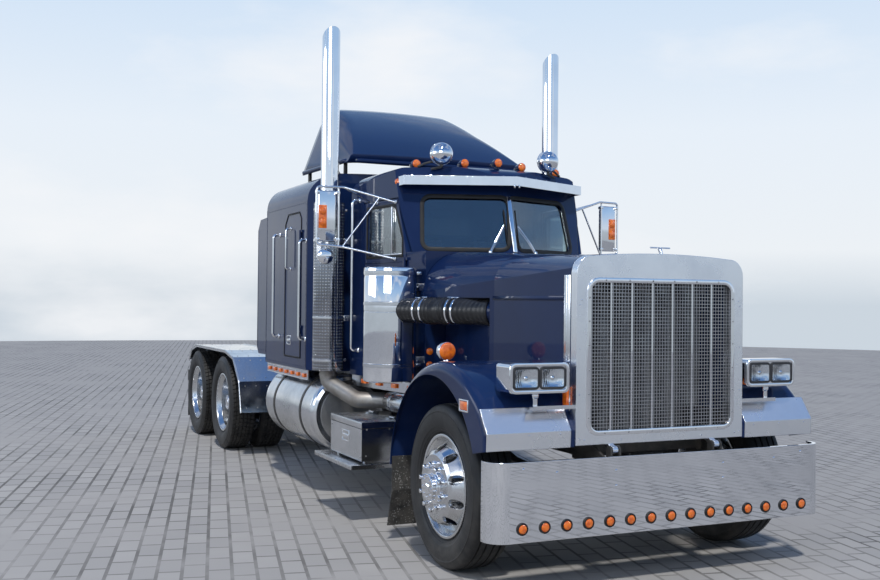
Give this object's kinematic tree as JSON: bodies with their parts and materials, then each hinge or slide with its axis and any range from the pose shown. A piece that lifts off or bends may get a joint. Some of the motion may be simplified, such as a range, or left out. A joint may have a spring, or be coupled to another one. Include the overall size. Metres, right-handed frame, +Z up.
{
  "type": "semi truck tractor unit",
  "caption": "Long-bonnet semi truck tractor with a sleeper cab, roof deflector, twin upright exhaust stacks, side tanks, tandem drive axles and a fifth wheel.",
  "frame": {"origin": "on the road, in the middle of the overall box", "axes": "+X forwards, +Y to the truck's left, +Z up"},
  "size_m": [8.574, 2.82, 3.98],
  "materials": {
    "navy_paint": "gloss",
    "chrome": "polished",
    "bright_trim": "polished",
    "polished_aluminium": "polished",
    "black_steel": "satin",
    "engine_iron": "matte",
    "rubber": "matte",
    "tyre_rubber": "matte",
    "window_glass": "clear",
    "amber_lens": "gloss",
    "grey_cloth": "woven",
    "dark_plastic": "matte"
  },
  "bodies": {
    "chassis": {"air_cleaners": "chrome", "cab_boot": "rubber", "cab_glass": "window_glass", "cab_interior": "dark_plastic", "cab_shell": "navy_paint", "drive_axles": "black_steel", "engine_block": "engine_iron", "exhaust_stacks": "chrome", "fifth_wheel_base": "black_steel", "frame_rails": "black_steel", "front_axle": "black_steel", "front_bumper": "chrome", "grab_bars": "chrome", "lower_skirts": "bright_trim", "marker_lamps": "amber_lens", "mud_flaps": "rubber", "radiator": "polished_aluminium", "rear_fenders_and_deck": "polished_aluminium", "roof_deflector": "navy_paint", "seats_and_bunk": "grey_cloth", "side_extenders": "navy_paint", "side_tanks": "polished_aluminium", "sleeper_shell": "navy_paint", "step_boxes": "polished_aluminium", "sun_visor": "chrome", "tail_bar": "black_steel"},
    "hood": {"hood_shell": "navy_paint", "hood_brightwork": "chrome", "grille_screen": "chrome", "front_fenders": "navy_paint", "front_lamps": "chrome", "splash_flaps": "rubber", "intake_pipes": "rubber"},
    "cab_door_left": {"door_left": "navy_paint", "door_glass_left": "window_glass", "mirror_left": "chrome"},
    "cab_door_right": {"door_right": "navy_paint", "door_glass_right": "window_glass", "mirror_right": "chrome"},
    "berth_door": {"sleeper_door": "navy_paint"},
    "lid_left": {"box_lid_left": "polished_aluminium"},
    "lid_right": {"box_lid_right": "polished_aluminium"},
    "steering_knuckle_left": {"knuckle_left": "black_steel"},
    "steering_knuckle_right": {"knuckle_right": "black_steel"},
    "steering_tie_rod": {"tie_rod": "black_steel"},
    "steering_hand_wheel": {"steering_wheel": "dark_plastic"},
    "wheel_front_left": {"front_tyre_left": "tyre_rubber", "front_rim_left": "polished_aluminium"},
    "wheel_front_right": {"front_tyre_right": "tyre_rubber", "front_rim_right": "polished_aluminium"},
    "drive_wheel_front_left": {"drive_tyres_front_left": "tyre_rubber", "drive_rims_front_left": "polished_aluminium"},
    "drive_wheel_front_right": {"drive_tyres_front_right": "tyre_rubber", "drive_rims_front_right": "polished_aluminium"},
    "drive_wheel_rear_left": {"drive_tyres_rear_left": "tyre_rubber", "drive_rims_rear_left": "polished_aluminium"},
    "drive_wheel_rear_right": {"drive_tyres_rear_right": "tyre_rubber", "drive_rims_rear_right": "polished_aluminium"},
    "fifth_wheel_top": {"fifth_wheel_plate": "black_steel"}
  },
  "joints": [
    {"name": "hood_tilt", "type": "hinge", "parent": "chassis", "child": "hood", "pos_m": [4.22, 0, 0.8], "axis": [0, 1, 0], "range_deg": [0, 65]},
    {"name": "cab_door_left_hinge", "type": "hinge", "parent": "chassis", "child": "cab_door_left", "pos_m": [2.021, 0.81104, 1.6], "axis": [0, 0, -1], "range_deg": [0, 62]},
    {"name": "cab_door_right_hinge", "type": "hinge", "parent": "chassis", "child": "cab_door_right", "pos_m": [2.021, -0.81104, 1.6], "axis": [0, 0, 1], "range_deg": [0, 62]},
    {"name": "berth_door_hinge", "type": "hinge", "parent": "chassis", "child": "berth_door", "pos_m": [0.446, -1.164, 1.8], "axis": [0, 0, 1], "range_deg": [0, 80]},
    {"name": "lid_left_hinge", "type": "hinge", "parent": "chassis", "child": "lid_left", "pos_m": [1.81, 0.903, 0.784], "axis": [1, 0, 0], "range_deg": [0, 60]},
    {"name": "lid_right_hinge", "type": "hinge", "parent": "chassis", "child": "lid_right", "pos_m": [1.81, -0.903, 0.784], "axis": [-1, 0, 0], "range_deg": [0, 60]},
    {"name": "steer_left", "type": "hinge", "parent": "chassis", "child": "steering_knuckle_left", "pos_m": [3.48, 0.84, 0.515], "axis": [0, 0, 1], "range_deg": [-35, 35]},
    {"name": "steer_right", "type": "hinge", "parent": "chassis", "child": "steering_knuckle_right", "pos_m": [3.48, -0.84, 0.515], "axis": [0, 0, 1], "range_deg": [-35, 35]},
    {"name": "tie_rod_end", "type": "hinge", "parent": "steering_knuckle_left", "child": "steering_tie_rod", "pos_m": [3.26, 0.84, 0.352], "axis": [0, 0, 1], "range_deg": [-35, 35]},
    {"name": "steering_column", "type": "hinge", "parent": "chassis", "child": "steering_hand_wheel", "pos_m": [1.84, 0.4, 1.8], "axis": [-0.6428, 0, 0.766], "range_deg": [-630, 630]},
    {"name": "front_wheel_left_spin", "type": "hinge", "parent": "steering_knuckle_left", "child": "wheel_front_left", "pos_m": [3.48, 1.03, 0.515], "axis": [0, 1, 0], "continuous": true},
    {"name": "front_wheel_right_spin", "type": "hinge", "parent": "steering_knuckle_right", "child": "wheel_front_right", "pos_m": [3.48, -1.03, 0.515], "axis": [0, 1, 0], "continuous": true},
    {"name": "drive_wheel_front_left_spin", "type": "hinge", "parent": "chassis", "child": "drive_wheel_front_left", "pos_m": [-2.315, 1, 0.515], "axis": [0, 1, 0], "continuous": true},
    {"name": "drive_wheel_front_right_spin", "type": "hinge", "parent": "chassis", "child": "drive_wheel_front_right", "pos_m": [-2.315, -1, 0.515], "axis": [0, 1, 0], "continuous": true},
    {"name": "drive_wheel_rear_left_spin", "type": "hinge", "parent": "chassis", "child": "drive_wheel_rear_left", "pos_m": [-3.685, 1, 0.515], "axis": [0, 1, 0], "continuous": true},
    {"name": "drive_wheel_rear_right_spin", "type": "hinge", "parent": "chassis", "child": "drive_wheel_rear_right", "pos_m": [-3.685, -1, 0.515], "axis": [0, 1, 0], "continuous": true},
    {"name": "fifth_wheel_rock", "type": "hinge", "parent": "chassis", "child": "fifth_wheel_top", "pos_m": [-2.82, 0, 1.13], "axis": [0, 1, 0], "range_deg": [-12, 12]}
  ],
  "couplings": [
    {"joint": "steer_right", "follows": "steer_left", "ratio": 1},
    {"joint": "tie_rod_end", "follows": "steer_left", "ratio": -1},
    {"joint": "steering_column", "follows": "steer_left", "ratio": 18}
  ]
}
